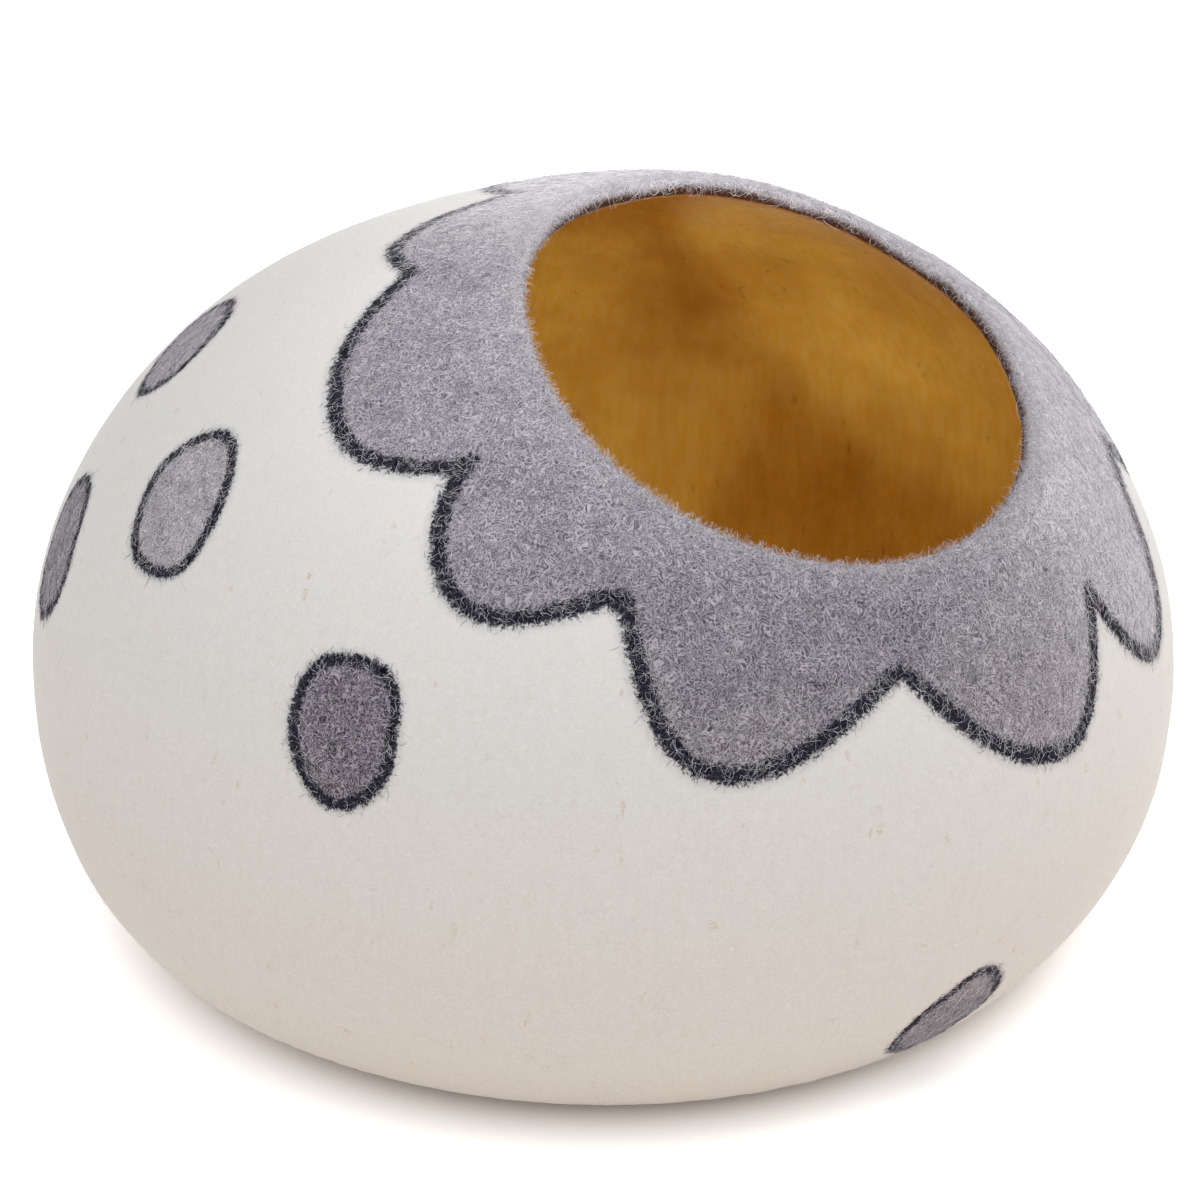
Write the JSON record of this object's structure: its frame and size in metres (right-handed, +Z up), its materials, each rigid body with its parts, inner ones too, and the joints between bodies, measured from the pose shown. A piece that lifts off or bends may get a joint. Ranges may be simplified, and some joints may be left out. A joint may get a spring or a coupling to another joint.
{
  "type": "felt cat cave",
  "caption": "Round hollow pet cave of thick wool felt with a flat foot and a wide tilted mouth; cream outside with a grey scalloped collar and spots, mustard inside.",
  "frame": {"origin": "middle of the flat foot, on the surface that the cave stands on", "axes": "+Z up; the mouth leans towards -Y; +X is to the right of someone who looks into the mouth"},
  "size_m": [0.5013, 0.4997, 0.3156],
  "materials": {
    "cream_wool": "thick matt wet-felted wool, cream white",
    "grey_wool": "matt felted wool, lavender grey with curly fibres",
    "charcoal_wool": "matt felted wool, charcoal, with loose fibres",
    "mustard_wool": "matt felted wool, mustard, smoother than the outside"
  },
  "bodies": {
    "root": {"felt_shell": "cream_wool"}
  },
  "joints": []
}
